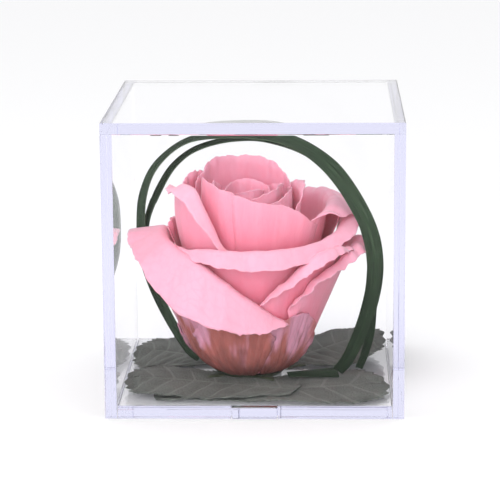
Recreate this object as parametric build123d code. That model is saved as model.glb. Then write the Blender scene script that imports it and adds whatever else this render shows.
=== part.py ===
from build123d import *
import math
import os

# A preserved rose in a clear acrylic flower box: a five-plate cover that lifts off a base plate,
# and on the base plate a rose bloom, four rose leaves and two looped blades of grass.
# Millimetres. Origin at the middle of the underside, +Z up, the front toward -Y.

# Driving dimensions of the box
box_width = 80.0            # outside, along X
box_depth = 80.0            # outside, along Y
box_height = 80.0           # outside, cover and base together
wall_thickness = 3.0        # front, back and side walls
top_thickness = 3.0         # top plate, glued on the walls
base_thickness = 3.0        # plate that carries the flower
base_gap = 0.2              # between the base plate and the walls round it
tab_width = 12.0            # finger tab in the middle of the front and the back
notch_gap = 0.2             # between a tab and its notch

# Driving dimensions of the flower
bloom_wall_gap = 0.9        # widest petal to the inside of a side wall
bloom_top_gap = 12.9        # highest petal to the underside of the top plate
petal_thickness = 0.35
leaf_thickness = 0.35
leaf_wall_gap = 0.7         # leaf tips to the inside of the walls
grass_thickness = 0.4
grass_width = 4.4           # long blade
grass_thin_width = 2.6      # short blade
grass_wall_gap = 1.4        # loop to the inside of a side wall
grass_top_gap = 1.3         # loop to the underside of the top plate
pad_radius = 9.0            # glue pad under the bloom
pad_height = 1.3
hip_height = 1.25           # green hip that the petals grow from
hip_overhang = 1.3          # hip's upper edge past the glue pad
root_gap = 0.05             # petal roots above the hip
seat_gap = 0.15             # what lies on the base plate or beside the pad

# Sizes that follow from them
inner_width = box_width - 2 * wall_thickness
inner_depth = box_depth - 2 * wall_thickness
wall_height = box_height - top_thickness
floor = base_thickness
hip_bottom = floor + pad_height
hip_top = hip_bottom + hip_height
root_z = hip_top + root_gap

# The bloom is drawn at these sizes and scaled to the room in the box
drawn_reach = 36.1          # from the box's middle to the tip of the widest petal
drawn_top = 64.1            # top of the highest petal
drawn_root = 5.6
drawn_ring = 42.0           # height at which petal_ring gives the layers' radii
centre_x = -2.2
centre_y = -5.0
spread_scale = (min(inner_width, inner_depth) / 2 - bloom_wall_gap) / drawn_reach
rise_scale = (wall_height - bloom_top_gap - root_z) / (drawn_top - drawn_root)

petal_ring = (2.8, 6.0, 9.4, 12.8, 16.4, 20.2, 24.0, 27.6, 30.0)    # layer 0 is the heart


def smooth(t):
    t = min(max(t, 0.0), 1.0)
    return t * t * (3 - 2 * t)


def curve_value(values, t):
    """A smooth curve through evenly spaced values, at t from 0 to 1."""
    place = min(max(t, 0.0), 1.0) * (len(values) - 1)
    i = min(int(place), len(values) - 2)
    f = place - i
    a, b, c, d = (values[min(max(j, 0), len(values) - 1)] for j in range(i - 1, i + 3))
    return b + 0.5 * f * (c - a + f * (2 * a - 5 * b + 4 * c - d + f * (3 * (b - c) + d - a)))


def ring_radius(layer):
    """Radius of a layer of petals at the drawn ring height."""
    i = min(max(int(layer), 0), len(petal_ring) - 2)
    return petal_ring[i] + (layer - i) * (petal_ring[i + 1] - petal_ring[i])


def bowl_radius(layer, z):
    """Radius of the bowl that a layer of petals lies on, at height z."""
    root = 1.5 + 0.95 * layer
    belly = 0.62 * layer
    t = z - drawn_root
    h = t / (drawn_ring - drawn_root)
    rise = 1 + (h - 1) - 1.6 * (h - 1) ** 2 if h > 1 else h
    return root + belly * (1 - math.exp(-t / 2.5)) + (ring_radius(layer) - root - belly) * rise


# name: layer, azimuth of its middle, half of the angle that it spans, how much further out its
# later edge lies, width of its root as a share of its width, height of its crest, reach of the rim
# past the crest, and degrees that the rim rolls outward
petals = {
    "heart_petal_1": (0.2, -60, 150, 0.1, 0.5, (53, 54, 54.5, 54, 53), (1, 2, 1), (40, 40)),
    "heart_petal_2": (0.95, 100, 120, 0.15, 0.5, (53, 55, 56, 55, 53), (1, 2, 1), (50, 50)),
    "heart_petal_3": (1.65, -10, 100, 0.1, 0.5, (52, 54.5, 55.5, 55, 53), (1, 2, 1), (60, 60)),
    "heart_petal_4": (1.9, 178, 72, 0.1, 0.5, (52, 54.5, 56.5, 55, 52), (1, 2, 1), (60, 60)),
    "petal_crown": (3.0, 98, 52, 0.15, 0.5, (55, 59, 61, 61, 57), (1, 3, 1), (60, 60)),
    "petal_inner_right": (2.4, -35, 60, 0.05, 0.5, (49, 52, 54, 55.5, 55), (1, 1), (60, 60)),
    "petal_lobe_right": (3.15, 20, 42, 0.15, 0.5, (50, 53, 54, 54, 51), (1, 4, 1), (80, 80)),
    "petal_front_wrap": (4.15, -84, 62, 0.65, 0.4, (58, 57, 55, 53, 51), (1, 1.5), (70, 70)),
    "petal_shoulder_left": (4.05, 146, 42, 0.25, 0.5, (53, 56, 57, 56, 50), (1, 2.5, 1), (80, 80)),
    "petal_shoulder_right": (4.15, 17, 42, 0.35, 0.5, (51, 54, 54, 50, 46), (2, 6, 8.5, 7, 4),
                             (60, 90, 100, 100, 90)),
    "petal_sash": (4.9, -158, 54, 0.1, 0.5, (53, 56, 56, 49, 36), (2, 4, 5, 4, 1), (120, 120)),
    "petal_front_rim": (5.75, -76, 88, 0.3, 0.5, (40, 42, 42, 43.5, 49), (4, 6, 6, 4.5, 8), (130, 130)),
    "petal_back_right": (6.5, 90, 60, 0.2, 0.5, (34, 38, 40, 39, 34), (2, 4, 5, 4, 2), (100, 100)),
    "petal_back_left": (5.8, 142, 44, 0.2, 0.5, (28, 36, 38, 36, 30), (0.4, 0.4, 2, 4, 3), (90, 90)),
    "petal_left_sweep": (7.0, -130, 56, 0.2, 0.7, (43, 42, 37, 28, 21), (6, 11, 18, 11, 2),
                         (70, 115, 135, 140, 110)),
    "petal_front_right": (6.9, -52, 34, 0.1, 0.5, (24, 32, 39, 42, 40), (2, 5, 6, 5.5, 4), (120, 120)),
    "petal_right_flare": (7.7, 2, 40, 0.1, 0.5, (30, 35, 37, 38, 38), (3, 5.5, 7, 6, 4), (55, 55)),
    "guard_petal_left": (7.9, -158, 38, 0.15, 0.6, (14, 20, 24, 22, 16), (1, 1), (10, 10)),
    "guard_petal_front": (8.7, -102, 34, 0.1, 0.6, (14, 21, 24, 21, 14), (1, 1), (10, 10)),
    "guard_petal_right": (8.2, -48, 36, 0.1, 0.6, (14, 20, 23, 25, 20), (1, 1), (10, 10)),
    "guard_petal_back": (9.0, 78, 50, 0.1, 0.6, (14, 24, 28, 24, 14), (1, 1), (10, 10)),
    "guard_petal_back_left": (8.45, 146, 40, 0.1, 0.6, (14, 22, 26, 22, 14), (1, 1), (10, 10)),
}
roll_fold = 6.5             # length over which a rim rolls
roll_steps = 24


def petal_surface(layer, azimuth, half_angle, spiral, root_share, crest, reach, roll,
                  columns=7, body_rows=6, rim_rows=3):
    """Rows of points of a petal, from its root up its bowl to the crest and out along its rim."""
    rows = [[] for _ in range(body_rows + rim_rows)]
    for column in range(columns):
        t = column / (columns - 1)
        u = 2 * t - 1
        k = layer + spiral * u
        top = curve_value(crest, t)
        out = curve_value(reach, t)
        turn = math.radians(curve_value(roll, t))
        outline = []
        for row in range(body_rows):
            h = (row / (body_rows - 1)) ** 1.6       # closer together near the root, where it curves most
            z = drawn_root + (top - drawn_root) * h
            outline.append((bowl_radius(k, z), z, root_share + (1 - root_share) * h ** 0.6))
        r, z, _ = outline[-1]
        lean = math.atan2(r - bowl_radius(k, z - 0.5), 0.5)
        step = out / roll_steps
        for i in range(roll_steps):
            angle = lean + turn * smooth((i + 0.5) * step / roll_fold)
            r += step * math.sin(angle)
            z += step * math.cos(angle)
            if (i + 1) % (roll_steps // rim_rows) == 0:
                outline.append((r, z, 1.0))
        for row, (radius, height, share) in enumerate(outline):
            a = math.radians(azimuth + u * half_angle * share)
            rows[row].append((radius * math.cos(a), radius * math.sin(a), height))
    return rows


def in_box(point):
    """A drawn point of the bloom, scaled to the room in the box."""
    x, y, z = point
    return ((x + centre_x) * spread_scale, (y + centre_y) * spread_scale,
            root_z + (z - drawn_root) * rise_scale)


def sheet_solid(rows, thickness):
    """A thin solid on a smooth surface through rows of points."""
    face = Face.make_surface_from_array_of_points(rows, tol=0.1, min_deg=3, max_deg=3)
    return Solid.thicken(face, thickness)


def make_petal(name):
    rows = petal_surface(*petals[name])
    return sheet_solid([[in_box(p) for p in row] for row in rows], petal_thickness)


def block(x0, x1, y0, y1, z0, z1):
    corner = (Align.MIN, Align.MIN, Align.MIN)
    return Pos(x0, y0, z0) * Box(x1 - x0, y1 - y0, z1 - z0, align=corner)


def make_front_wall(side):
    """Front (side -1) or back (side 1) wall, full width, with the notch for the base's tab."""
    outer = side * box_depth / 2
    inner = side * inner_depth / 2
    y0, y1 = min(outer, inner), max(outer, inner)
    half_notch = tab_width / 2 + notch_gap
    wall = block(-box_width / 2, box_width / 2, y0, y1, 0, wall_height)
    return wall - block(-half_notch, half_notch, y0 - 1, y1 + 1, -1, base_thickness + notch_gap)


def make_side_wall(side):
    """Left (side -1) or right (side 1) wall, between the front and the back wall."""
    outer = side * box_width / 2
    inner = side * inner_width / 2
    return block(min(outer, inner), max(outer, inner), -inner_depth / 2, inner_depth / 2, 0, wall_height)


def make_top_plate():
    return block(-box_width / 2, box_width / 2, -box_depth / 2, box_depth / 2, wall_height, box_height)


def make_base_plate():
    half_x = inner_width / 2 - base_gap
    half_y = inner_depth / 2 - base_gap
    plate = block(-half_x, half_x, -half_y, half_y, 0, base_thickness)
    tabs = block(-tab_width / 2, tab_width / 2, -box_depth / 2, box_depth / 2, 0, base_thickness)
    return plate + tabs


bloom_centre = Pos(centre_x * spread_scale, centre_y * spread_scale, 0)


def make_glue_pad():
    return bloom_centre * Pos(0, 0, floor) * extrude(Circle(pad_radius), pad_height)


def make_hip():
    """The rose's green hip, a low cup that widens from the glue pad to the petal roots."""
    profile = Polyline((0, hip_bottom), (pad_radius, hip_bottom), (pad_radius + hip_overhang, hip_top),
                       (0, hip_top), close=True)
    return bloom_centre * revolve(make_face(Plane.XZ * profile), Axis.Z)


sepal_length = 5.5
sepal_half_width = 1.9
sepal_thickness = 0.4
sepal_first_angle = -64.0


def make_sepals():
    """Five sepals that stand out level round the hip."""
    z = hip_bottom + 0.55 * hip_height
    start = pad_radius + hip_overhang + seat_gap
    outline = Polyline((start, -sepal_half_width), (start + 0.4 * sepal_length, -sepal_half_width * 0.9),
                       (start + sepal_length, 0), (start + 0.4 * sepal_length, sepal_half_width * 0.9),
                       (start, sepal_half_width), close=True)
    sepal = Pos(0, 0, z) * extrude(make_face(outline), sepal_thickness)
    return [bloom_centre * Rot(0, 0, sepal_first_angle + 72 * i) * sepal for i in range(5)]


# Leaves: base, middle and tip of the midrib in X and Y, half widths along it, and the heights of
# the blade's underside above the base plate at the base, the middle and the tip, all as drawn
# for a leaf that reaches 36.3 mm from the box's middle
leaf_reach = 36.3
leaf_scale = (min(inner_width, inner_depth) / 2 - leaf_wall_gap) / leaf_reach
leaves = {
    "leaf_back_left": ((-10.5, 5.5), (-20, 16.2), (-36, 16.5), (2.5, 13, 17, 17.5, 13), (0.3, 0.6, 1.2)),
    "leaf_front_left": ((11, -25.6), (-14, -17.7), (-36, -17.2), (3.5, 6.2, 8.6, 11.5, 10), (1.15, 1.2, 2.0)),
    "leaf_back_right": ((6.5, 5.5), (18, 18.2), (36, 18.5), (2.5, 13, 16.5, 16.5, 12), (0.3, 2.0, 5.2)),
    "leaf_front_right": ((-8, -26.3), (14, -17.5), (36, -17.2), (3.5, 7.9, 13.5, 17, 14), (0.2, 0.3, 0.6)),
}


def make_leaf(name, columns=7, lines=5):
    base, middle, tip, half_widths, heights = leaves[name]
    rows = []
    for column in range(columns):
        t = column / (columns - 1)
        along = [(1 - t) ** 2 * a + 2 * t * (1 - t) * b + t * t * c for a, b, c in zip(base, middle, tip)]
        dx, dy = (2 * (1 - t) * (b - a) + 2 * t * (c - b) for a, b, c in zip(base, middle, tip))
        length = math.hypot(dx, dy)
        half = curve_value(half_widths, t)
        z = floor + curve_value(heights, t)
        row = []
        for line in range(lines):
            side = 2 * line / (lines - 1) - 1
            x = (along[0] - dy / length * half * side) * leaf_scale
            y = (along[1] + dx / length * half * side) * leaf_scale
            row.append((x, y, z))
        rows.append(row)
    return sheet_solid(rows, leaf_thickness)


# Grass: middles of the blades in X and Z as drawn for a loop that reaches 35.6 mm to the sides and
# 75.7 mm up. The loop stands in a plane that runs from the back at the left to the front at the right
loop_reach = 35.6
loop_top = 75.7
loop_offset = -2.5          # Y of the loop's plane at X = 0
loop_slant = -0.36          # Y per X
blade_tilt = 25.0           # degrees that the blades turn out of that plane
blade_gap = 2.1             # short blade's plane behind the long blade's
long_route = ((-17.0, 5.6), (-20.5, 8.5), (-26.9, 19.0), (-31.8, 31.0), (-33.3, 41.4), (-32.6, 52.0),
              (-28.3, 61.5), (-18.6, 69.8), (-4.7, 73.2), (8.0, 71.9), (19.5, 64.6), (27.5, 53.8),
              (32.0, 42.9), (32.4, 32.0), (29.8, 20.5), (25.6, 10.2), (22.4, 5.6))
short_route = ((-30.9, 46.0), (-28.6, 54.2), (-24.2, 61.4), (-17.5, 67.2), (-7.5, 71.2), (3.0, 71.3),
               (15.5, 65.8), (25.1, 55.0), (30.0, 43.0), (31.2, 32.0), (30.6, 18.5), (28.4, 11.5),
               (26.2, 6.4))
tail_end = (8.5, -13.6)     # X and Y of the long blade's end, past its fold on the leaf
tail_height = 2.1           # above the base plate
loop_scale_x = (inner_width / 2 - grass_wall_gap) / loop_reach
loop_scale_z = (wall_height - grass_top_gap - floor) / (loop_top - base_thickness)


def loop_point(x, z, aside=0.0):
    """A drawn point of the loop, scaled to the room in the box and moved out of the loop's plane."""
    sx = x * loop_scale_x
    return Vector(sx + aside * 0.34, (loop_offset + loop_slant * x) * loop_scale_x + aside,
                  floor + (z - base_thickness) * loop_scale_z)


def make_blade(route, width, end_width, aside, columns=17):
    """A ribbon along a route in the loop's plane, wide in the plane and tilted out of it."""
    plane_normal = Vector(-loop_slant, 1, 0).normalized()
    xs = [x for x, _ in route]
    zs = [z for _, z in route]
    rows = []
    for column in range(columns):
        t = column / (columns - 1)
        here = loop_point(curve_value(xs, t), curve_value(zs, t), aside)
        after = loop_point(curve_value(xs, t + 0.01), curve_value(zs, t + 0.01), aside)
        before = loop_point(curve_value(xs, t - 0.01), curve_value(zs, t - 0.01), aside)
        across = (after - before).cross(plane_normal).normalized()
        tilt = math.radians(blade_tilt)
        half = (across * math.cos(tilt) + plane_normal * math.sin(tilt)) * (width / 2)
        half *= end_width / width + (1 - end_width / width) * smooth(min(t, 1 - t) * 6)
        rows.append([here - half, here - half * 0.4, here + half * 0.4, here + half])
    return sheet_solid(rows, grass_thickness)


def make_long_blade():
    """The long blade: the loop, and the end that is folded flat on the leaf under the bloom."""
    loop = make_blade(long_route, grass_width, 3.2, 0.0)
    fold_x, fold_z = long_route[-1]
    fold = loop_point(fold_x, fold_z)
    end_x, end_y = (value * leaf_scale for value in tail_end)
    z = floor + tail_height
    tail = Polyline((fold.X + 1.0, fold.Y - 0.9), (end_x, end_y - 1.6), (end_x, end_y + 1.6),
                    (fold.X - 0.4, fold.Y + 2.0), close=True)
    height = fold.Z - z + 0.2
    return loop + Pos(0, 0, z) * extrude(make_face(tail), max(grass_thickness, min(height, 0.6)))


bead_radius = 0.8
bead_height = 0.95          # above the base plate, on the leaf


def make_glue_bead():
    """A drop of clear glue on the front right leaf, beside the hip."""
    drops = []
    for x, y in ((12.2, -6.8), (13.4, -5.0), (11.6, -8.9)):
        drop = Sphere(bead_radius) & block(-2, 2, -2, 2, 0, 2)
        drops.append(Pos(x * leaf_scale, y * leaf_scale, floor + bead_height) * drop)
    return drops


def write(node, shapes):
    solids = [solid for shape in shapes for solid in shape.solids()]
    export_step(Compound(children=solids) if len(solids) > 1 else solids[0], f"parts/{node}.step")


os.makedirs("parts", exist_ok=True)
write("top_plate", [make_top_plate()])
write("front_wall", [make_front_wall(-1)])
write("back_wall", [make_front_wall(1)])
write("left_wall", [make_side_wall(-1)])
write("right_wall", [make_side_wall(1)])
write("base_plate", [make_base_plate()])
write("glue_pad", [make_glue_pad()])
write("rose_hip", [make_hip()])
write("rose_sepals", make_sepals())
for name in petals:
    write(name, [make_petal(name)])
for name in leaves:
    write(name, [make_leaf(name)])
write("grass_blade_long", [make_long_blade()])
write("grass_blade_short", [make_blade(short_route, grass_thin_width, 1.6, blade_gap)])
write("glue_beads", make_glue_bead())
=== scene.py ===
# %% [markdown]
# # A preserved rose in a clear box
# One pink rose stands on its own leaves inside a clear acrylic cube, with two blades of grass bent
# round it in a loop. The plates, the hip that the petals grow from and the height of the base plate
# come from the frame. Petals, leaves and grass are listed here, and each replaces a plain solid.
# We work in millimetres, because petals are easier to think about that way, and convert at the end.

# %% Load the frame
import math

import bpy
import numpy as np
from mathutils import Matrix, Vector


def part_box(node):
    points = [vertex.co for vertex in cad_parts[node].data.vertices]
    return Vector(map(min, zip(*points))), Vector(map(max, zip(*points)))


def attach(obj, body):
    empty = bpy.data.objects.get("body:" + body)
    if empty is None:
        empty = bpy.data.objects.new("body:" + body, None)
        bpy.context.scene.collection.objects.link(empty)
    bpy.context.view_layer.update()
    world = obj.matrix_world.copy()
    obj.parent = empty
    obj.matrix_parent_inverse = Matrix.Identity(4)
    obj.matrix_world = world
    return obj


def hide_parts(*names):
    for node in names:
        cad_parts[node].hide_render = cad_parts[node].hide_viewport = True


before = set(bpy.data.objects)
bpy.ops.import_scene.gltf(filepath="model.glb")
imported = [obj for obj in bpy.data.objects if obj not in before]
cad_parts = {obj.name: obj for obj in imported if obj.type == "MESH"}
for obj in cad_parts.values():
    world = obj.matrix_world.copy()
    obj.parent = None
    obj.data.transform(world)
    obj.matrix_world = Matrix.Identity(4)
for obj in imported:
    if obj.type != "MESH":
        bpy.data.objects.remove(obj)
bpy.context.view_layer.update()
MM = 0.001


# %% [markdown]
# ## Camera
# A long lens from a distance keeps the upright edges of a small box nearly parallel. The camera
# stands about 64 cm away, a little to the right, and looks down by twelve degrees.

# %% Camera
CAMERA_PLACE = Vector((18.7, -642.2, 176.3)) * MM
CAMERA_TURN = math.radians(-1.86)       # to the left
CAMERA_PITCH = math.radians(12.18)      # down
CAMERA_ROLL = math.radians(-0.41)
CAMERA_LENS = 168.65
SENSOR_WIDTH = 36
NEAR_CLIP = 0.01

view = Vector((math.sin(CAMERA_TURN) * math.cos(CAMERA_PITCH),
               math.cos(CAMERA_TURN) * math.cos(CAMERA_PITCH), -math.sin(CAMERA_PITCH)))
right = Vector((math.cos(CAMERA_TURN), -math.sin(CAMERA_TURN), 0))
up = right.cross(view)
level = Matrix((right, up, -view)).transposed()
camera_data = bpy.data.cameras.new("camera")
camera_data.lens = CAMERA_LENS
camera_data.sensor_width = SENSOR_WIDTH
camera_data.clip_start = NEAR_CLIP
camera = bpy.data.objects.new("camera", camera_data)
rolled = level @ Matrix.Rotation(CAMERA_ROLL, 3, "Z")
camera.matrix_world = Matrix.Translation(CAMERA_PLACE) @ rolled.to_4x4()
bpy.context.scene.collection.objects.link(camera)
bpy.context.scene.camera = camera
bpy.context.scene.view_settings.view_transform = "Standard"
print("camera at", [round(c / MM, 1) for c in CAMERA_PLACE], "mm, lens", CAMERA_LENS)

# %% [markdown]
# ## Light
# Clear acrylic shows what is round it, so a plain white room keeps it clean. A soft lamp at the
# upper left models the petals, and a wider one in front fills their shade. Light is reflected many
# times inside a plate before it leaves, so it gets 24 bounces: with few, the edges turn black.

# %% Light
BOUNCES = 24
BOX_MIDDLE = Vector((0, 0, 0.04))
world = bpy.data.worlds.new("white_room")
world.use_nodes = True
world.node_tree.nodes["Background"].inputs["Color"].default_value = (1, 1, 1, 1)
world.node_tree.nodes["Background"].inputs["Strength"].default_value = 1.0
bpy.context.scene.world = world
bpy.context.scene.cycles.max_bounces = BOUNCES
bpy.context.scene.cycles.transmission_bounces = BOUNCES
bpy.context.scene.cycles.glossy_bounces = BOUNCES


def add_lamp(name, place, width, height, radiance):
    """A soft rectangular lamp that looks at the middle of the box."""
    data = bpy.data.lights.new(name, "AREA")
    data.shape = "RECTANGLE"
    data.size = width
    data.size_y = height
    data.energy = radiance * math.pi * width * height
    lamp = bpy.data.objects.new(name, data)
    lamp.location = place
    lamp.visible_camera = False
    lamp.visible_transmission = False
    lamp.rotation_euler = (BOX_MIDDLE - lamp.location).to_track_quat("-Z", "Y").to_euler()
    bpy.context.scene.collection.objects.link(lamp)
    return lamp


add_lamp("soft_lamp", Vector((-0.25, -0.35, 0.55)), 0.4, 0.4, 1.7)
add_lamp("front_fill", Vector((-0.1, -0.85, 0.3)), 0.9, 0.6, 2.4)

# %% [markdown]
# ## Shader maths in Python
# A material is a small program made of nodes. Wired by hand it is hard to read, so a socket is
# wrapped in a class whose operators add Math nodes: `1 - mask * 0.3` then means what it says.
# Every other node comes from one method, `node`.


# %% Shader helpers
class Socket:
    """An output of a node, with arithmetic that adds Math nodes."""

    def __init__(self, finish, socket):
        self.finish = finish
        self.socket = socket

    def math(self, operation, a, b=0.0, clamp=False):
        settings = {"operation": operation, "use_clamp": clamp}
        return self.finish.node("ShaderNodeMath", settings, {0: a, 1: b})

    def __add__(self, other):
        return self.math("ADD", self, other)

    def __sub__(self, other):
        return self.math("SUBTRACT", self, other)

    def __rsub__(self, other):
        return self.math("SUBTRACT", other, self)

    def __mul__(self, other):
        return self.math("MULTIPLY", self, other)

    def __pow__(self, other):
        return self.math("POWER", self, other)

    __radd__ = __add__
    __rmul__ = __mul__

    def clamped(self):
        return self.math("ADD", self, 0.0, True)

    def wave(self):
        return self.math("SINE", self)

    def size(self):
        return self.math("ABSOLUTE", self)


class Finish:
    """A material and the nodes in it."""

    def __init__(self, name):
        self.material = bpy.data.materials.new(name)
        self.material.use_nodes = True
        self.tree = self.material.node_tree
        self.tree.nodes.clear()
        self.output = self.tree.nodes.new("ShaderNodeOutputMaterial")

    def node(self, kind, settings=None, inputs=None, output=0):
        made = self.tree.nodes.new(kind)
        for name, value in (settings or {}).items():
            if name == "stops":
                set_stops(made.color_ramp, value)
            else:
                setattr(made, name, value)
        for name, value in (inputs or {}).items():
            if isinstance(value, Socket):
                self.tree.links.new(value.socket, made.inputs[name])
            else:
                made.inputs[name].default_value = value
        return Socket(self, made.outputs[output])

    def measure(self, name):
        """A number stored at the points of the mesh."""
        return self.node("ShaderNodeAttribute", {"attribute_name": name}, output=2)

    def place(self):
        return self.node("ShaderNodeTexCoord", output=3)

    def noise(self, scale, detail=3.0, place=None):
        inputs = {"Scale": scale, "Detail": detail, "Vector": place or self.place()}
        return self.node("ShaderNodeTexNoise", None, inputs)

    def mix(self, share, a, b):
        return self.node("ShaderNodeMix", {"data_type": "RGBA"}, {0: share, 6: a, 7: b}, output=2)

    def combine(self, x, y, z):
        return self.node("ShaderNodeCombineXYZ", None, {0: x, 1: y, 2: z})

    def bump(self, height, distance, strength=1.0):
        inputs = {"Height": height, "Distance": distance, "Strength": strength}
        return self.node("ShaderNodeBump", None, inputs)

    def surface(self, shader, volume=None):
        self.tree.links.new(shader.socket, self.output.inputs["Surface"])
        if volume:
            self.tree.links.new(volume.socket, self.output.inputs["Volume"])
        return self.material


def set_stops(ramp, stops):
    """Colour stops of a ramp: place, colour."""
    while len(ramp.elements) < len(stops):
        ramp.elements.new(0.5)
    for element, (place, colour) in zip(ramp.elements, stops):
        element.position = place
        element.color = colour


def rgb(red, green, blue):
    """A colour as a screen shows it, from 0 to 255, in the linear light that shaders use."""
    shares = [value / 255 for value in (red, green, blue)]
    linear = [c / 12.92 if c <= 10 / 255 else ((c + 0.055) / 1.055) ** 2.4 for c in shares]
    return (*linear, 1.0)


# %% [markdown]
# ## Clear acrylic
# Acrylic bends light by 1.49 and is faintly violet where light travels far in it, which is only
# along the plates: that is why the cut edges of a box look lavender while its faces look clear.
# Absorption inside the material gives this by itself. A lamp's shadow rays are let straight
# through, because light that is bent through a plate is slow to find by chance.


# %% Acrylic finish
ACRYLIC_IOR = 1.49
ACRYLIC_SPECULAR = (0.16, 0.16, 0.16, 1)
EDGE_TINT = (0.70, 0.70, 0.955, 1)
TINT_DENSITY = 10.0


def acrylic_finish():
    finish = Finish("clear_acrylic")
    scuffs = finish.noise(90.0, 4.0)
    glass = finish.node("ShaderNodeBsdfPrincipled", None, {
        "Base Color": (1, 1, 1, 1), "Roughness": (scuffs - 0.62).clamped() * 0.12,
        "IOR": ACRYLIC_IOR, "Transmission Weight": 1.0, "Specular Tint": ACRYLIC_SPECULAR})
    clear = finish.node("ShaderNodeBsdfTransparent")
    shadow = finish.node("ShaderNodeLightPath", output=1)
    surface = finish.node("ShaderNodeMixShader", None, {0: shadow, 1: glass, 2: clear})
    absorption = {"Color": EDGE_TINT, "Density": TINT_DENSITY}
    tint = finish.node("ShaderNodeVolumeAbsorption", None, absorption)
    return finish.surface(surface, tint)


acrylic = acrylic_finish()
print("acrylic nodes:", len(acrylic.node_tree.nodes))

# %% [markdown]
# ## The plates
# The plates are already right, so they stay as they are in the frame. Two modifiers make them
# believable: their faces stand back by 0.02 mm, so that two glued faces never lie in the same
# place, and every edge gets the tiny bevel that a polished cut edge has.

# %% Plates
GLUE_LINE = 0.02 * MM
EDGE_BEVEL = 0.22 * MM


def finish_plate(node):
    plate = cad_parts[node]
    plate.data.materials.clear()
    plate.data.materials.append(acrylic)
    weld = plate.modifiers.new("weld", "WELD")
    weld.merge_threshold = 0.001 * MM
    inset = plate.modifiers.new("glue_line", "DISPLACE")
    inset.mid_level = 0
    inset.strength = -GLUE_LINE
    bevel = plate.modifiers.new("polished_edge", "BEVEL")
    bevel.width = EDGE_BEVEL
    bevel.segments = 2
    bevel.limit_method = "ANGLE"


for node in ("top_plate", "front_wall", "back_wall", "left_wall", "right_wall", "base_plate"):
    finish_plate(node)
    print(node, "has", [modifier.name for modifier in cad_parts[node].modifiers])


# %% [markdown]
# ## Sheets from rows of points
# Petals, leaves and grass are all thin sheets. Each is a grid of points with a few numbers stored
# at every point, such as how far along the petal it is, which the materials read. A Solidify
# modifier then gives the sheet its thickness.


# %% Sheet helpers
def smooth(t):
    t = np.clip(t, 0.0, 1.0)
    return t * t * (3 - 2 * t)


def curve_value(values, t):
    """A smooth curve through evenly spaced values, at t from 0 to 1."""
    values = np.asarray(values, float)
    place = np.clip(np.asarray(t, float), 0, 1) * (len(values) - 1)
    i = np.minimum(place.astype(int), len(values) - 2)
    f = place - i
    a, b, c, d = (values[np.clip(i + step, 0, len(values) - 1)] for step in (-1, 0, 1, 2))
    return b + 0.5 * f * (c - a + f * (2 * a - 5 * b + 4 * c - d + f * (3 * (b - c) + d - a)))


def ripple(t, seed, count=4):
    """A smooth irregular wave about 0, the same for the same seed."""
    random = np.random.RandomState(seed)
    total = np.zeros_like(np.asarray(t, float))
    for turn in range(1, count + 1):
        total += np.sin(t * turn * random.uniform(2.0, 3.6) + random.uniform(0, 6.28)) / turn
    return total


def sheet_normals(grid):
    across = np.gradient(grid, axis=1)
    along = np.gradient(grid, axis=0)
    normals = np.cross(across, along)
    return normals / np.maximum(np.linalg.norm(normals, axis=2, keepdims=True), 1e-9)


def add_sheet(name, grid, measures, finish, thickness, body="base", offset=0.0):
    """A mesh from a grid of points in millimetres, with numbers stored at its points."""
    rows, columns = grid.shape[:2]
    index = np.arange(rows * columns).reshape(rows, columns)
    quads = np.stack([index[:-1, :-1], index[:-1, 1:], index[1:, 1:], index[1:, :-1]], -1).reshape(-1, 4)
    mesh = bpy.data.meshes.new(name)
    mesh.from_pydata((grid.reshape(-1, 3) * MM).tolist(), [], quads.tolist())
    for measure, values in measures.items():
        layer = mesh.attributes.new(measure, "FLOAT", "POINT")
        spread = np.broadcast_to(values, (rows, columns)).reshape(-1)
        layer.data.foreach_set("value", spread.astype(np.float32))
    mesh.polygons.foreach_set("use_smooth", [True] * len(mesh.polygons))
    mesh.materials.append(finish)
    piece = bpy.data.objects.new(name, mesh)
    bpy.context.scene.collection.objects.link(piece)
    solid = piece.modifiers.new("thickness", "SOLIDIFY")
    solid.thickness = thickness * MM
    solid.offset = offset
    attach(piece, body)
    return piece


# %% [markdown]
# ## How the bloom is built
# A rose is a nest of bowls. Each petal lies on its own bowl, numbered from 0 at the heart to about 9
# at the guard petals, and takes up part of the way round. Above the crest its rim rolls
# outward. One function makes every petal from a short list: layer, direction, width, and how the
# crest, the rim's reach and its roll change from one side to the other.

# %% Bowls
hip_low, hip_high = (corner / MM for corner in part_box("rose_hip"))
BLOOM_X = (hip_low.x + hip_high.x) / 2
BLOOM_Y = (hip_low.y + hip_high.y) / 2
ROOT_Z = hip_high.z + 0.05
RING_Z = 42.0
PETAL_RING = (2.8, 6.0, 9.4, 12.8, 16.4, 20.2, 24.0, 27.6, 30.0)
PETAL_THICKNESS = 0.32
ROLL_FOLD = 5.0
print("bloom stands at", round(BLOOM_X, 2), round(BLOOM_Y, 2), "roots at", round(ROOT_Z, 2))


def bowl_radius(layer, z):
    """Radius of the bowl that a layer of petals lies on, at height z."""
    ring = np.interp(layer, range(len(PETAL_RING)), PETAL_RING)
    root = 1.5 + 0.95 * layer
    belly = 0.62 * layer
    t = z - ROOT_Z
    h = t / (RING_Z - ROOT_Z)
    rise = np.where(h > 1, 1 + (h - 1) - 1.6 * (h - 1) ** 2, h)
    return root + belly * (1 - np.exp(-np.maximum(t, 0) / 2.5)) + (ring - root - belly) * rise


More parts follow.
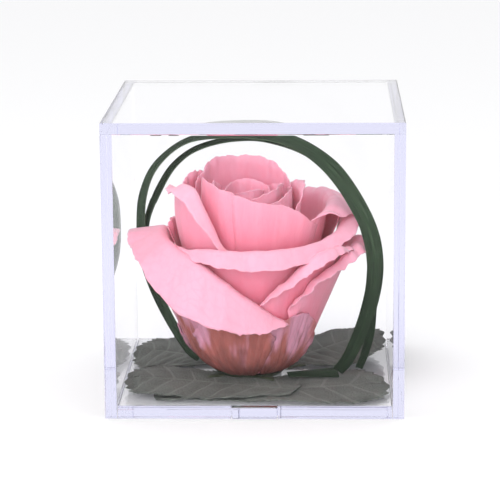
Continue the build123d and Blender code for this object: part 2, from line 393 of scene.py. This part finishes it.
def petal_grid(layer, azimuth, half_angle, crest, reach, roll, spiral=0.1, root_share=0.5,
               fold=ROLL_FOLD, columns=81, body_rows=40, rim_rows=26):
    """Points of a petal, with how far up it and how far past its crest each of them is."""
    t = np.linspace(0, 1, columns)
    u = 2 * t - 1
    k = layer + spiral * u
    top, out = curve_value(crest, t), np.maximum(curve_value(reach, t), 0.05)
    turn = np.radians(curve_value(roll, t))
    h = np.linspace(0, 1, body_rows)[:, None] ** 1.25
    z = ROOT_Z + (top - ROOT_Z) * h
    r = bowl_radius(k, z)
    share = root_share + (1 - root_share) * h ** 0.6
    lean = np.arctan2(bowl_radius(k, top) - bowl_radius(k, top - 0.5), 0.5)
    radii, heights = [r], [z]
    now_r, now_z = r[-1].copy(), z[-1].copy()
    step = out / (rim_rows * 4)
    for i in range(rim_rows * 4):
        angle = lean + turn * smooth((i + 0.5) * step / fold)
        now_r = now_r + step * np.sin(angle)
        now_z = now_z + step * np.cos(angle)
        if i % 4 == 3:
            radii.append(now_r[None].copy())
            heights.append(now_z[None].copy())
    r, z = np.concatenate(radii), np.concatenate(heights)
    share = np.concatenate([np.broadcast_to(share, (body_rows, columns)), np.ones((rim_rows, columns))])
    a = np.radians(azimuth + u * half_angle * share)
    grid = np.stack([BLOOM_X + r * np.cos(a), BLOOM_Y + r * np.sin(a), z], -1)
    up_petal = np.concatenate([np.broadcast_to(h, (body_rows, columns)), np.ones((rim_rows, columns))])
    past = np.concatenate([np.zeros((body_rows, columns)), np.linspace(0, 1, rim_rows + 1)[1:, None] * out])
    return grid, up_petal, past


# %% [markdown]
# A perfect bowl looks like china. A real petal has a wavy margin, shallow grooves along its
# length where the next petal was pressed against it, and a thin edge that curls a little further
# than the rest. These are small moves of the points along the surface's own normal, and they
# fade out toward the root.


# %% Petals
MARGIN_WIDTH = 9.0
NICK_WIDTH = 3.0
CREASE_DEPTH = 0.7
CREASE_HALF_WIDTH = 0.03
NO_CREASE = 9.0             # outside the petal, which runs from -1 to 1


def soften(grid, up_petal, past, seed, wave, groove, crease):
    """Waves the margin, grooves the petal along its length and folds it sharply at a crease."""
    rows, columns = up_petal.shape
    u = np.linspace(-1, 1, columns)[None, :]
    steps = np.linalg.norm(np.diff(grid, axis=0), axis=2)
    to_margin = np.concatenate([np.cumsum(steps[::-1], axis=0)[::-1], np.zeros((1, columns))])
    margin = smooth(1 - to_margin / MARGIN_WIDTH)
    side = smooth((np.abs(u) - 0.72) / 0.28) * up_petal
    normals = sheet_normals(grid)
    lift = wave * margin * ripple(u * 3.0 + 0.2, seed) + 0.8 * wave * side * ripple(up_petal * 5.0, seed + 7)
    lift = lift + groove * up_petal * ripple(u * 9.0, seed + 3, 5) * (1 - 0.5 * margin)
    lift = lift + 0.35 * groove * ripple(u * 5 + up_petal * 6.0, seed + 5, 4)
    fold_line = np.exp(-((u - crease) / CREASE_HALF_WIDTH) ** 2)
    lift = lift - CREASE_DEPTH * fold_line * smooth(up_petal * 2)
    grid = grid + normals * lift[..., None]
    along = np.gradient(grid, axis=0)
    along /= np.maximum(np.linalg.norm(along, axis=2, keepdims=True), 1e-9)
    nick = 0.45 * wave * smooth(1 - to_margin / NICK_WIDTH) * ripple(u * 11.0, seed + 11, 6)
    return grid + along * nick[..., None]


def petal(name, node, finish, slot, seed, wave=0.45, groove=0.05, crease=NO_CREASE, **sizes):
    grid, up_petal, past = petal_grid(**sizes)
    grid = soften(grid, up_petal, past, seed, wave, groove, crease)
    u = np.linspace(-1, 1, grid.shape[1])[None, :]
    measures = {"up_petal": up_petal, "past_crest": past, "across": u, "seed": float(seed)}
    piece = add_sheet(name, grid, measures, finish, PETAL_THICKNESS)
    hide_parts(node)
    print(f"{name}: {grid.shape[0]} x {grid.shape[1]} points, top at {grid[..., 2].max():.1f} mm")
    return piece


# %% [markdown]
# ### Petal finish
# Preserved petals are dyed pink. The colour is palest at the rolled rim, warmer and deeper toward
# the root. This is partly the dye and partly painted light: a painted highlight on the rim and
# painted shade down in the bowl. Thin veins run up the petal. They are velvety: no sharp highlight,
# and some light passes through, which a little subsurface scattering gives.


# %% Petal finish
def petal_finish(name, rim, middle, root, blotch, blotch_amount):
    finish = Finish(name)
    up_petal = finish.measure("up_petal")
    past = finish.measure("past_crest")
    across = finish.measure("across")
    seed = finish.measure("seed")
    place = finish.combine(across * 3.0 + seed, up_petal * 2.0, seed)
    cloud = finish.noise(1.6, 4.0, place)
    fine = finish.noise(520.0, 3.0)
    vein_place = finish.combine(across * 24.0 + cloud * 5.0, up_petal * 5.0 + past * 0.3 + seed, seed)
    veins = finish.noise(1.0, 2.0, vein_place)
    # Darker toward the root: partly the dye, partly painted shade down in the bowl.
    height = (up_petal ** 1.5 + (cloud - 0.5) * 0.35).clamped()
    colour = finish.mix(height, root, middle)
    # Paler toward and past the crest: partly the dye, partly a painted highlight on the rolled rim.
    rim_paling_and_highlight = ((past * 0.22) + (cloud - 0.5) * 0.5 + (up_petal - 0.86) * 1.6).clamped()
    colour = finish.mix(rim_paling_and_highlight, colour, rim)
    colour = finish.mix(((veins - 0.52) * 3.0).clamped() * 0.12, colour, root)
    net_place = finish.combine(across * 17.0 + cloud * 4.0, up_petal * 5.0 + past * 0.34, seed)
    net = finish.node("ShaderNodeTexVoronoi", {"feature": "DISTANCE_TO_EDGE"},
                      {"Vector": net_place, "Scale": 1.0})
    lines = (1 - net * 11.0).clamped()
    colour = finish.mix(lines * cloud * 0.2, colour, root)
    bruise = ((across - 0.86) * 6.0 + (cloud - 0.5) * 2.0).clamped() * (past * 0.3).clamped()
    colour = finish.mix(bruise * 0.6, colour, rgb(176, 124, 118))
    spots = finish.noise(2.4, 5.0, finish.combine(across * 2.0, up_petal * 1.2 + seed * 3.0, seed))
    colour = finish.mix(((spots - 0.52) * 7.0).clamped() * blotch_amount, colour, blotch)
    relief = finish.bump(veins * 0.6 + fine * 0.35 - lines * 0.15, 0.00014, 0.6)
    shader = finish.node("ShaderNodeBsdfPrincipled", None, {
        "Base Color": colour, "Roughness": 0.55 + fine * 0.15, "Normal": relief,
        "Specular IOR Level": 0.25, "Sheen Weight": 0.25, "Sheen Roughness": 0.4,
        "Subsurface Weight": 0.35, "Subsurface Radius": (1.0, 0.35, 0.4), "Subsurface Scale": 0.0012})
    return finish.surface(shader)


pink = petal_finish("petal_pink", rgb(240, 168, 188), rgb(240, 152, 173), rgb(222, 104, 128),
                    rgb(234, 146, 162), 0.2)
# A lighter copy of the same pink, used for the upper and inner petals: painted light, for the light that
# falls on the top of the bloom.
lit_pink = petal_finish("petal_pink_lit", rgb(246, 176, 196), rgb(246, 164, 186), rgb(228, 118, 140),
                    rgb(238, 156, 172), 0.2)
print("petal finishes:", pink.name, lit_pink.name)


# %% [markdown]
# ### Guard petal finish
# The outermost petals dry unevenly: mauve patches above, brown streaks below and dark edges. Three
# noises of different stretch do this, each of them a share of a mix between two colours.


# %% Guard petal finish
def guard_finish(name, mauve, brown, dark):
    finish = Finish(name)
    up_petal = finish.measure("up_petal")
    across = finish.measure("across")
    seed = finish.measure("seed")
    patch = finish.noise(1.0, 3.0, finish.combine(across * 1.5 + seed * 1.7, up_petal * 0.8, seed))
    streak = finish.noise(1.0, 4.0, finish.combine(across * 6.5 + patch * 5.0, up_petal * 1.9, seed))
    low = finish.noise(1.0, 3.0, finish.combine(across * 3.0, up_petal * 3.0, seed + 5.0))
    colour = finish.mix(((patch - 0.47) * 9.0 + (up_petal - 0.55) * 1.6).clamped(), brown, mauve)
    colour = finish.mix(((streak - 0.52) * 4.0).clamped() * 0.4, colour, dark)
    colour = finish.mix(((low - 0.35) * 3.0 - up_petal * 1.6 + 0.6).clamped() * 0.7, colour, dark)
    colour = finish.mix(((across.size() - 0.9) * 10.0).clamped() * 0.5, colour, dark)
    relief = finish.bump(streak, 0.00025, 0.8)
    shader = finish.node("ShaderNodeBsdfPrincipled", None, {
        "Base Color": colour, "Roughness": 0.55 + streak * 0.2, "Normal": relief, "Specular IOR Level": 0.25,
        "Subsurface Weight": 0.2, "Subsurface Radius": (1.0, 0.35, 0.4), "Subsurface Scale": 0.001})
    return finish.surface(shader)


browned = guard_finish("petal_browned", rgb(208, 146, 168), rgb(168, 98, 92), rgb(106, 62, 58))
print("guard finish:", browned.name)

# %% [markdown]
# ### Heart and crown
# The innermost petals wrap round each other and hardly open, so their reach past the crest is
# small. The crown stands behind them as the highest petal.

# %% Heart and crown
petal("heart_1", "heart_petal_1", lit_pink, "petal", 1, 0.15, 0.05, layer=0.2, azimuth=-60, half_angle=150,
      crest=(53, 54, 54.5, 54, 53), reach=(1, 2, 1), roll=(40, 40))
petal("heart_2", "heart_petal_2", lit_pink, "petal", 2, 0.2, 0.06, layer=0.95, azimuth=100, half_angle=120,
      spiral=0.15, crest=(53, 55, 56, 55, 53), reach=(1, 2, 1), roll=(50, 50))
petal("heart_3", "heart_petal_3", lit_pink, "petal", 3, 0.25, 0.08, layer=1.65, azimuth=-10, half_angle=100,
      crest=(52, 54.5, 55.5, 55, 53), reach=(1, 2, 1), roll=(60, 60))
petal("heart_4", "heart_petal_4", lit_pink, "petal", 4, 0.25, 0.08, layer=1.9, azimuth=178, half_angle=72,
      crest=(52, 54.5, 56.5, 55, 52), reach=(1, 2, 1), roll=(60, 60))
petal("crown", "petal_crown", lit_pink, "petal", 5, 0.35, layer=3.1, azimuth=100, half_angle=72, spiral=0.15,
      crest=(55, 59, 60.2, 60, 57), reach=(1, 3, 3, 3, 1), roll=(60, 60))
petal("inner_right", "petal_inner_right", lit_pink, "petal", 6, 0.2, layer=2.4, azimuth=-35, half_angle=60,
      spiral=0.05, crest=(49, 52, 54, 55.5, 55), reach=(1, 1), roll=(60, 60))
petal("lobe_right", "petal_lobe_right", lit_pink, "petal", 7, 0.3, layer=3.15, azimuth=20, half_angle=42,
      spiral=0.15, crest=(50, 53, 54, 54, 51), reach=(1, 4, 1), roll=(80, 80))

# %% [markdown]
# ### Middle petals
# These carry the look of the bloom: the wrap that closes the front, the sash that falls across its
# left side, and the wide rim that folds down over the front.

# %% Middle petals
petal("front_wrap", "petal_front_wrap", pink, "petal", 8, 0.25, 0.06, crease=-0.33, layer=4.15,
      azimuth=-84, half_angle=62, spiral=0.65, root_share=0.4, crest=(60, 58, 55, 52.5, 46),
      reach=(1, 1.5), roll=(70, 70))
petal("shoulder_left", "petal_shoulder_left", lit_pink, "petal", 9, 0.4, layer=4.05, azimuth=146, half_angle=42,
      spiral=0.25, crest=(53, 56, 57, 56, 50), reach=(1, 2.5, 1), roll=(80, 80))
petal("shoulder_right", "petal_shoulder_right", pink, "petal", 10, 0.4, layer=5.0, azimuth=12, half_angle=46,
      spiral=0.45, crest=(46, 49, 50, 50, 49), reach=(3, 10, 12, 9, 3),
      roll=(90, 118, 125, 115, 80), fold=7.5)
petal("sash", "petal_sash", lit_pink, "petal", 11, 0.35, layer=4.7, azimuth=-158, half_angle=54,
      crest=(48, 54, 56, 57, 41), reach=(0.5, 1.5, 5, 8, 3.5), roll=(60, 90, 110, 125, 125), fold=4.0)
petal("front_rim", "petal_front_rim", pink, "petal", 12, 0.45, 0.06, layer=5.75, azimuth=-76, half_angle=88,
      spiral=0.3, crest=(40, 42, 42, 43.5, 47), reach=(2, 6.8, 8.5, 7, 8), roll=(140, 140, 140, 120, 70))
petal("back_right", "petal_back_right", pink, "petal", 13, 0.6, layer=6.0, azimuth=76, half_angle=74,
      spiral=0.2, crest=(49, 47, 43, 40, 34), reach=(2, 4, 5, 4, 2), roll=(110, 110))
petal("back_left", "petal_back_left", pink, "petal", 14, 0.5, layer=5.3, azimuth=140, half_angle=46,
      spiral=-0.1, crest=(30, 38, 42, 45, 44), reach=(1, 2, 2, 2, 2), roll=(70, 70))

# %% [markdown]
# ### Outer petals
# The outer petals reach furthest. The left sweep's crest falls from left to right, which gives the
# long slanting edge at the lower front. The flare at the right bends down, which keeps its tip
# from reaching past the grass.

# %% Outer petals
petal("left_sweep", "petal_left_sweep", pink, "petal", 15, 0.5, 0.07, layer=6.2, azimuth=-120, half_angle=66,
      spiral=0.9, root_share=0.7, crest=(43.5, 42.5, 38, 28, 20), reach=(13, 13, 18, 12, 3),
      roll=(86, 100, 135, 140, 110))
petal("front_right", "petal_front_right", pink, "petal", 16, 0.4, layer=6.9, azimuth=-52, half_angle=34,
      spiral=0.35, crest=(24, 32, 39, 42, 40), reach=(2, 5, 6, 5.5, 4), roll=(130, 130))
petal("right_flare", "petal_right_flare", pink, "petal", 17, 0.6, layer=7.6, azimuth=-12, half_angle=48,
      crest=(26, 36, 40.5, 40.5, 37), reach=(4, 5.4, 6, 5.4, 4), roll=(70, 104, 122, 116, 100))

# %% [markdown]
# ### Guard petals
# Five short petals close the foot of the bloom. They stand close to each other and hardly roll.

# %% Guard petals
GUARDS = {
    "left": (7.9, -158, 38, 0.15, (16, 23, 27, 26, 20)),
    "front": (8.75, -102, 34, -0.15, (18, 24, 27, 25, 18)),
    "right": (8.2, -48, 36, 0.1, (14, 22, 24, 20, 12)),
    "back": (9.0, 78, 50, 0.1, (14, 24, 28, 24, 14)),
    "back_left": (8.45, 146, 40, 0.1, (14, 22, 26, 22, 14)),
}
for seed, (side, (layer, azimuth, half_angle, spiral, crest)) in enumerate(GUARDS.items(), 20):
    petal(f"guard_{side}", f"guard_petal_{side}", browned, "guard_petal", seed, 0.3, 0.25, layer=layer,
          azimuth=azimuth, half_angle=half_angle, spiral=spiral, root_share=0.6, crest=crest,
          reach=(1, 1), roll=(10, 10))

# %% [markdown]
# ## Hip and sepals
# The petals grow from a green hip. Its sepals lie under the bloom, so only their dark tips show.


# %% Green finish
def calyx_finish():
    finish = Finish("calyx_green")
    mottle = finish.noise(400.0, 5.0)
    colour = finish.mix(mottle, rgb(38, 46, 34), rgb(78, 88, 62))
    shader = finish.node("ShaderNodeBsdfPrincipled", None, {
        "Base Color": colour, "Roughness": 0.6 + mottle * 0.2, "Normal": finish.bump(mottle, 0.0003)})
    return finish.surface(shader)


calyx = calyx_finish()
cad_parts["rose_hip"].data.materials.clear()
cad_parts["rose_hip"].data.materials.append(calyx)
print("hip is", round(hip_high.z - hip_low.z, 2), "mm high")


# %% [markdown]
# ### Sepals
# A sepal is a short pointed sheet: its width falls to nothing at the tip, with a slight wave along
# its edges. The same one is turned five times round the hip.


# %% Sepals
SEPAL_COUNT = 5
SEPAL_LENGTH = 5.4
SEPAL_HALF_WIDTH = 1.9
SEPAL_THICKNESS = 0.3
SEPAL_FIRST_ANGLE = -64


def sepal_grid(angle, columns=9, rows=18):
    t = np.linspace(0, 1, rows)[:, None]
    u = np.linspace(-1, 1, columns)[None, :]
    start = (hip_high.x - hip_low.x) / 2 + 0.2
    along = start + SEPAL_LENGTH * t + 0 * u
    across = SEPAL_HALF_WIDTH * (1 - t) ** 0.7 * u * (1 + 0.1 * np.sin(t * 40))
    z = hip_low.z + 0.9 + 0.25 * np.sin(t * 3) - 0.3 * u ** 2 * (1 - t)
    a = math.radians(angle)
    return np.stack([BLOOM_X + along * math.cos(a) - across * math.sin(a),
                     BLOOM_Y + along * math.sin(a) + across * math.cos(a), z], -1)


for number in range(SEPAL_COUNT):
    sepal_angle = SEPAL_FIRST_ANGLE + 360 / SEPAL_COUNT * number
    sepal = add_sheet(f"sepal_{number + 1}", sepal_grid(sepal_angle), {}, calyx, SEPAL_THICKNESS)
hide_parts("rose_sepals")

# %% [markdown]
# ## Leaves
# A rose leaflet is broad, blunt and toothed. Side veins leave the midrib at a slant and the blade
# bulges between them. The grid's rows follow the side veins, so the bulges are just a wave along
# the rows, and the teeth lean toward the tip because the outline is pushed along as well as out.

# %% Leaf shape
LEAF_THICKNESS = 0.28
LEAF_LIMIT = 36.7           # leaves stay inside the walls
LEAF_REST = 0.15            # above the base plate
LEAVES = {
    "back_left": ((-10.5, 5.5), (-20, 16.2), (-36, 16.5), (2.5, 13, 17, 17.5, 13), (0.5, 0.9, 1.6)),
    "front_left": ((11, -25.6), (-14, -17.7), (-36, -17.2), (6.0, 12, 14, 14.5, 12), (1.35, 1.7, 2.6)),
    "back_right": ((6.5, 5.5), (18, 18.2), (36, 18.5), (2.5, 13, 16.5, 16.5, 12), (0.5, 2.3, 5.5)),
    "front_right": ((-27, -31), (6, -22), (36, -17.2), (3, 6.5, 12, 17, 14), (0.4, 0.55, 0.9)),
}
floor_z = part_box("base_plate")[1].z / MM


def leaf_grid(base, middle, tip, half_widths, heights, seed,
              rows=300, columns=45, veins=8, teeth=34):
    s = np.linspace(0, 1, rows)[:, None]
    u = np.linspace(-1, 1, columns)[None, :]
    slant = np.clip(s + 0.10 * (np.abs(u) - 1), 0, 1) * 0.985
    x, y = ((1 - slant) ** 2 * a + 2 * slant * (1 - slant) * b + slant ** 2 * c
            for a, b, c in zip(base, middle, tip))
    dx, dy = (2 * (1 - slant) * (b - a) + 2 * slant * (c - b) for a, b, c in zip(base, middle, tip))
    length = np.hypot(dx, dy)
    rounding = np.sqrt(np.clip(1 - (np.clip(s - 0.88, 0, 1) / 0.12) ** 2.6, 0.0, 1))
    saw = (s * teeth) % 1.0
    tooth = smooth((np.abs(u) - 0.84) / 0.16) * saw * smooth((s - 0.12) / 0.1)
    half = curve_value(half_widths, s) * rounding * (1 - 0.05 * smooth((np.abs(u) - 0.8) / 0.2))
    half = half - 0.5 + 1.6 * tooth
    x = np.clip(x - dy / length * half * u + dx / length * 1.1 * tooth, -LEAF_LIMIT, LEAF_LIMIT)
    y = np.clip(y + dx / length * half * u + dy / length * 1.1 * tooth, -LEAF_LIMIT, LEAF_LIMIT)
    vein = np.cos((s * veins) * 2 * np.pi)
    bulge = 0.34 * vein * smooth(np.abs(u) / 0.25) * (1 - 0.5 * np.abs(u))
    groove = -0.5 * np.exp(-(u / 0.05) ** 2)
    wave = 0.45 * ripple(s * 6 + u * 1.5, seed) * np.abs(u)
    droop = -0.5 * smooth((np.abs(u) - 0.55) / 0.45) * smooth((s - 0.1) / 0.3)
    droop = droop * (curve_value(heights, s) > 1.2)
    z = floor_z + LEAF_REST + curve_value(heights, s) + 0.5 * (bulge + groove + wave) + droop
    z = np.maximum(z, floor_z + 0.22)
    return np.stack([x, y, z], -1), s, u


# %% [markdown]
# ### Leaf finish
# Preserved leaves are grey-green and matt, paler along the veins, with a fine net between them.


# %% Leaf finish
def leaf_finish(veins=8):
    finish = Finish("leaf_grey_green")
    s = finish.measure("along")
    across = finish.measure("across").size()
    net = finish.node("ShaderNodeTexVoronoi", {"feature": "DISTANCE_TO_EDGE"},
                      {"Vector": finish.place(), "Scale": 900.0})
    cloud = finish.noise(160.0, 5.0)
    wave = (s * (veins * 2 * math.pi) + math.pi / 2).wave()
    side_vein = ((-1.0 * wave - 0.86) * 7.0).clamped()
    midrib = (1 - across * 28.0).clamped()
    vein = finish.node("ShaderNodeMath", {"operation": "MAXIMUM"}, {0: side_vein * 0.7, 1: midrib})
    colour = finish.mix(cloud, rgb(60, 64, 60), rgb(120, 124, 118))
    colour = finish.mix(vein * 0.5, colour, rgb(146, 152, 144))
    colour = finish.mix((1 - net * 9.0).clamped() * 0.25, colour, rgb(60, 66, 62))
    relief = finish.bump((net * 4.0).clamped() * 0.5 + cloud * 0.4 - vein * 0.5, 0.00025, 0.8)
    shader = finish.node("ShaderNodeBsdfPrincipled", None, {
        "Base Color": colour, "Roughness": 0.62 + cloud * 0.15, "Normal": relief, "Specular IOR Level": 0.15,
        "Sheen Weight": 0.05})
    return finish.surface(shader)


leaf_green = leaf_finish()
print("leaf finish:", leaf_green.name)

# %% [markdown]
# ### The four leaves
# One function makes all four from a base, a middle and a tip, with widths and heights along them.

# %% Leaves
for seed, (side, sizes) in enumerate(LEAVES.items(), 40):
    grid, s, u = leaf_grid(*sizes, seed)
    leaf = add_sheet(f"leaf_{side}_blade", grid, {"along": s, "across": u}, leaf_green, LEAF_THICKNESS)
    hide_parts(f"leaf_{side}")
    print(f"leaf_{side}: {grid[..., 2].min():.2f} to {grid[..., 2].max():.2f} mm high")

# %% [markdown]
# ## Grass
# The blades are long, ribbed and folded lightly along the midrib, so they are lofted: a narrow
# V-shaped section follows the loop. Where the long blade reaches the leaf it creases and lies flat.

# %% Grass shape
LOOP_OFFSET, LOOP_SLANT = -2.5, -0.36
# X and Z of the middle of each blade, in the loop's plane
LONG_ROUTE = ((-17.0, 5.6), (-20.5, 8.5), (-26.9, 19.0), (-31.8, 31.0), (-33.3, 41.4), (-32.6, 52.0),
              (-28.3, 61.5), (-18.6, 69.8), (-4.7, 73.2), (8.0, 71.9), (19.5, 64.6), (27.5, 53.8),
              (32.0, 42.9), (32.4, 32.0), (29.8, 20.5), (25.6, 10.2), (22.4, 5.6))
SHORT_ROUTE = ((-33.0, 40.0), (-32.0, 46.0), (-28.6, 54.2), (-24.2, 61.4), (-17.5, 67.2),
               (-7.5, 71.2), (3.0, 71.3), (15.5, 65.8), (25.1, 55.0), (30.0, 43.0), (31.2, 32.0),
               (30.8, 18.5), (29.4, 11.5), (27.6, 6.4))
LOOP_DIP = 2.4              # how much the top of the loop sinks
GRASS_COLUMNS = 13
GRASS_THICKNESS = 0.3
LONG_WIDTH = 4.4
SHORT_WIDTH = 2.6
SHORT_ASIDE = 2.1           # the short blade's plane lies this far behind the long blade's
TAIL_END = (8.5, -13.6)
TAIL_HEIGHT = 2.3
TAIL_WIDTHS = (4.2, 2.4)


def loop_points(route, aside, rows):
    t = np.linspace(0, 1, rows)
    x = curve_value([p[0] for p in route], t)
    z = curve_value([p[1] for p in route], t)
    z = z - LOOP_DIP * np.exp(-((x + 3) / 19) ** 2) * (z > 50)
    return np.stack([x + aside * 0.34, LOOP_OFFSET + LOOP_SLANT * x + aside, z], -1)


def ribbon(points, normal, widths, tilt, vee, columns=GRASS_COLUMNS):
    """A lightly folded strip that follows points, wide across its route in a plane."""
    along = np.gradient(points, axis=0)
    along /= np.linalg.norm(along, axis=1, keepdims=True)
    across = np.cross(along, normal)
    across /= np.linalg.norm(across, axis=1, keepdims=True)
    face = np.cross(across, along)
    a = np.radians(tilt)[:, None]
    wide = across * np.cos(a) + face * np.sin(a)
    deep = -across * np.sin(a) + face * np.cos(a)
    u = np.linspace(-1, 1, columns)
    ribs = 0.035 * np.cos(u * np.pi * 5)
    return (points[:, None, :] + wide[:, None, :] * (widths[:, None] / 2 * u)[..., None]
            + deep[:, None, :] * ((1 - np.abs(u)) * vee + ribs)[None, :, None])


# %% [markdown]
# ### Grass finish
# Fine ribs run along a blade. Noise that is stretched along the blade gives the broad ones, and a
# sine wave across it the fine ones.


# %% Grass finish
def grass_finish():
    finish = Finish("grass_dark_green")
    along = finish.measure("along")
    across = finish.measure("across")
    ribs = finish.noise(1.0, 2.0, finish.combine(across * 19.0, along * 0.3, 0.0))
    cloud = finish.noise(60.0, 4.0)
    colour = finish.mix(((ribs - 0.36) * 3.2).clamped(), rgb(8, 22, 12), rgb(70, 90, 68))
    lines = ((across * 44.0 + ribs * 3.0).wave() - 0.2).clamped()
    colour = finish.mix(lines * cloud * 1.1, colour, rgb(112, 132, 106))
    colour = finish.mix(((cloud - 0.42) * 5.0).clamped() * 0.6, colour, rgb(18, 34, 20))
    colour = finish.mix((1 - across.size() * 14.0).clamped() * 0.35, colour, rgb(92, 128, 88))
    relief = finish.bump(ribs + lines * 0.5, 0.0003, 1.0)
    shader = finish.node("ShaderNodeBsdfPrincipled", None, {
        "Base Color": colour, "Roughness": 0.45 + cloud * 0.15, "Normal": relief, "Specular IOR Level": 0.12})
    return finish.surface(shader)


grass = grass_finish()
print("grass finish:", grass.name)


# %% [markdown]
# ### The two blades
# Each blade also turns about its own length. Near the top of the loop both are seen nearly
# edge-on, and that is what makes them look thin there.


# %% Grass blades
def blade(name, node, route, width, aside, tilt, rows=170):
    points = loop_points(route, aside, rows)
    t = np.linspace(0, 1, rows)
    normal = np.array([-LOOP_SLANT, 1.0, 0.0])
    widths = width * (0.72 + 0.28 * smooth(np.minimum(t, 1 - t) * 6)) * (1 + 0.03 * ripple(t * 9, 5))
    tilts = curve_value(tilt, t)
    grid = ribbon(points, normal, widths, tilts, 0.35)
    measures = {"along": (t * 60)[:, None], "across": np.linspace(-1, 1, GRASS_COLUMNS)[None, :]}
    piece = add_sheet(name, grid, measures, grass, GRASS_THICKNESS)
    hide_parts(node)
    length = np.linalg.norm(np.diff(points, axis=0), axis=1).sum()
    print(f"{name}: {length:.0f} mm long, {width} mm wide")
    return points


long_points = blade("long_blade", "grass_blade_long", LONG_ROUTE, LONG_WIDTH, 0.0,
                    (25, 25, 25, 45, 72, 58, 26, 18, 20, 25))
blade("short_blade", "grass_blade_short", SHORT_ROUTE, SHORT_WIDTH, SHORT_ASIDE,
      (25, 30, 60, 72, 50, 25, 25))

# %% [markdown]
# ### The folded end
# The long blade creases where it meets the leaf, and its end lies flat and grows narrower.

# %% Folded end
TAIL_ROWS = 30
fold = long_points[-1]
t = np.linspace(0, 1, TAIL_ROWS)[:, None]
tail_path = np.array([fold[0], fold[1], floor_z + TAIL_HEIGHT])[None] * (1 - t)
tail_path = tail_path + np.array([TAIL_END[0], TAIL_END[1], floor_z + TAIL_HEIGHT + 0.2])[None] * t
tail_widths = np.linspace(*TAIL_WIDTHS, TAIL_ROWS)
tail_tilts = np.linspace(24, 14, TAIL_ROWS)
tail_grid = ribbon(tail_path, np.array([0.0, 0.0, 1.0]), tail_widths, tail_tilts, 0.25)
tail_measures = {"along": t * 9, "across": np.linspace(-1, 1, GRASS_COLUMNS)[None, :]}
tail = add_sheet("long_blade_end", tail_grid, tail_measures, grass, GRASS_THICKNESS)
print("folded end:", round(float(np.linalg.norm(tail_path[-1] - tail_path[0])), 1), "mm long")

# %% [markdown]
# ## Glue
# A little clear hot glue was pressed out beside the hip. It is shiny and cloudy.


# %% Glue
def glue_finish():
    finish = Finish("clear_glue")
    cloud = finish.noise(500.0, 3.0)
    colour = finish.mix(cloud, rgb(225, 225, 225), rgb(255, 255, 255))
    shader = finish.node("ShaderNodeBsdfPrincipled", None, {
        "Base Color": colour, "Roughness": 0.08 + cloud * 0.1, "Transmission Weight": 0.6, "IOR": 1.48})
    return finish.surface(shader)


glue = glue_finish()
for node in ("glue_pad", "glue_beads"):
    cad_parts[node].data.materials.clear()
    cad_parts[node].data.materials.append(glue)
    print(node, "gets", glue.name)

# %% [markdown]
# ## Floor
# A plain white table. It is only the stage, and not part of the object.

# %% Floor
FLOOR_SIZE = 6
bpy.ops.mesh.primitive_plane_add(size=FLOOR_SIZE)
floor = bpy.context.object
floor.name = "floor"
floor_finish = Finish("white_table")
floor_shade = floor_finish.node("ShaderNodeBsdfPrincipled", None, {
    "Base Color": (0.92, 0.92, 0.93, 1), "Roughness": 0.8, "Specular IOR Level": 0.1})
floor.data.materials.append(floor_finish.surface(floor_shade))
print("floor:", FLOOR_SIZE, "m square")
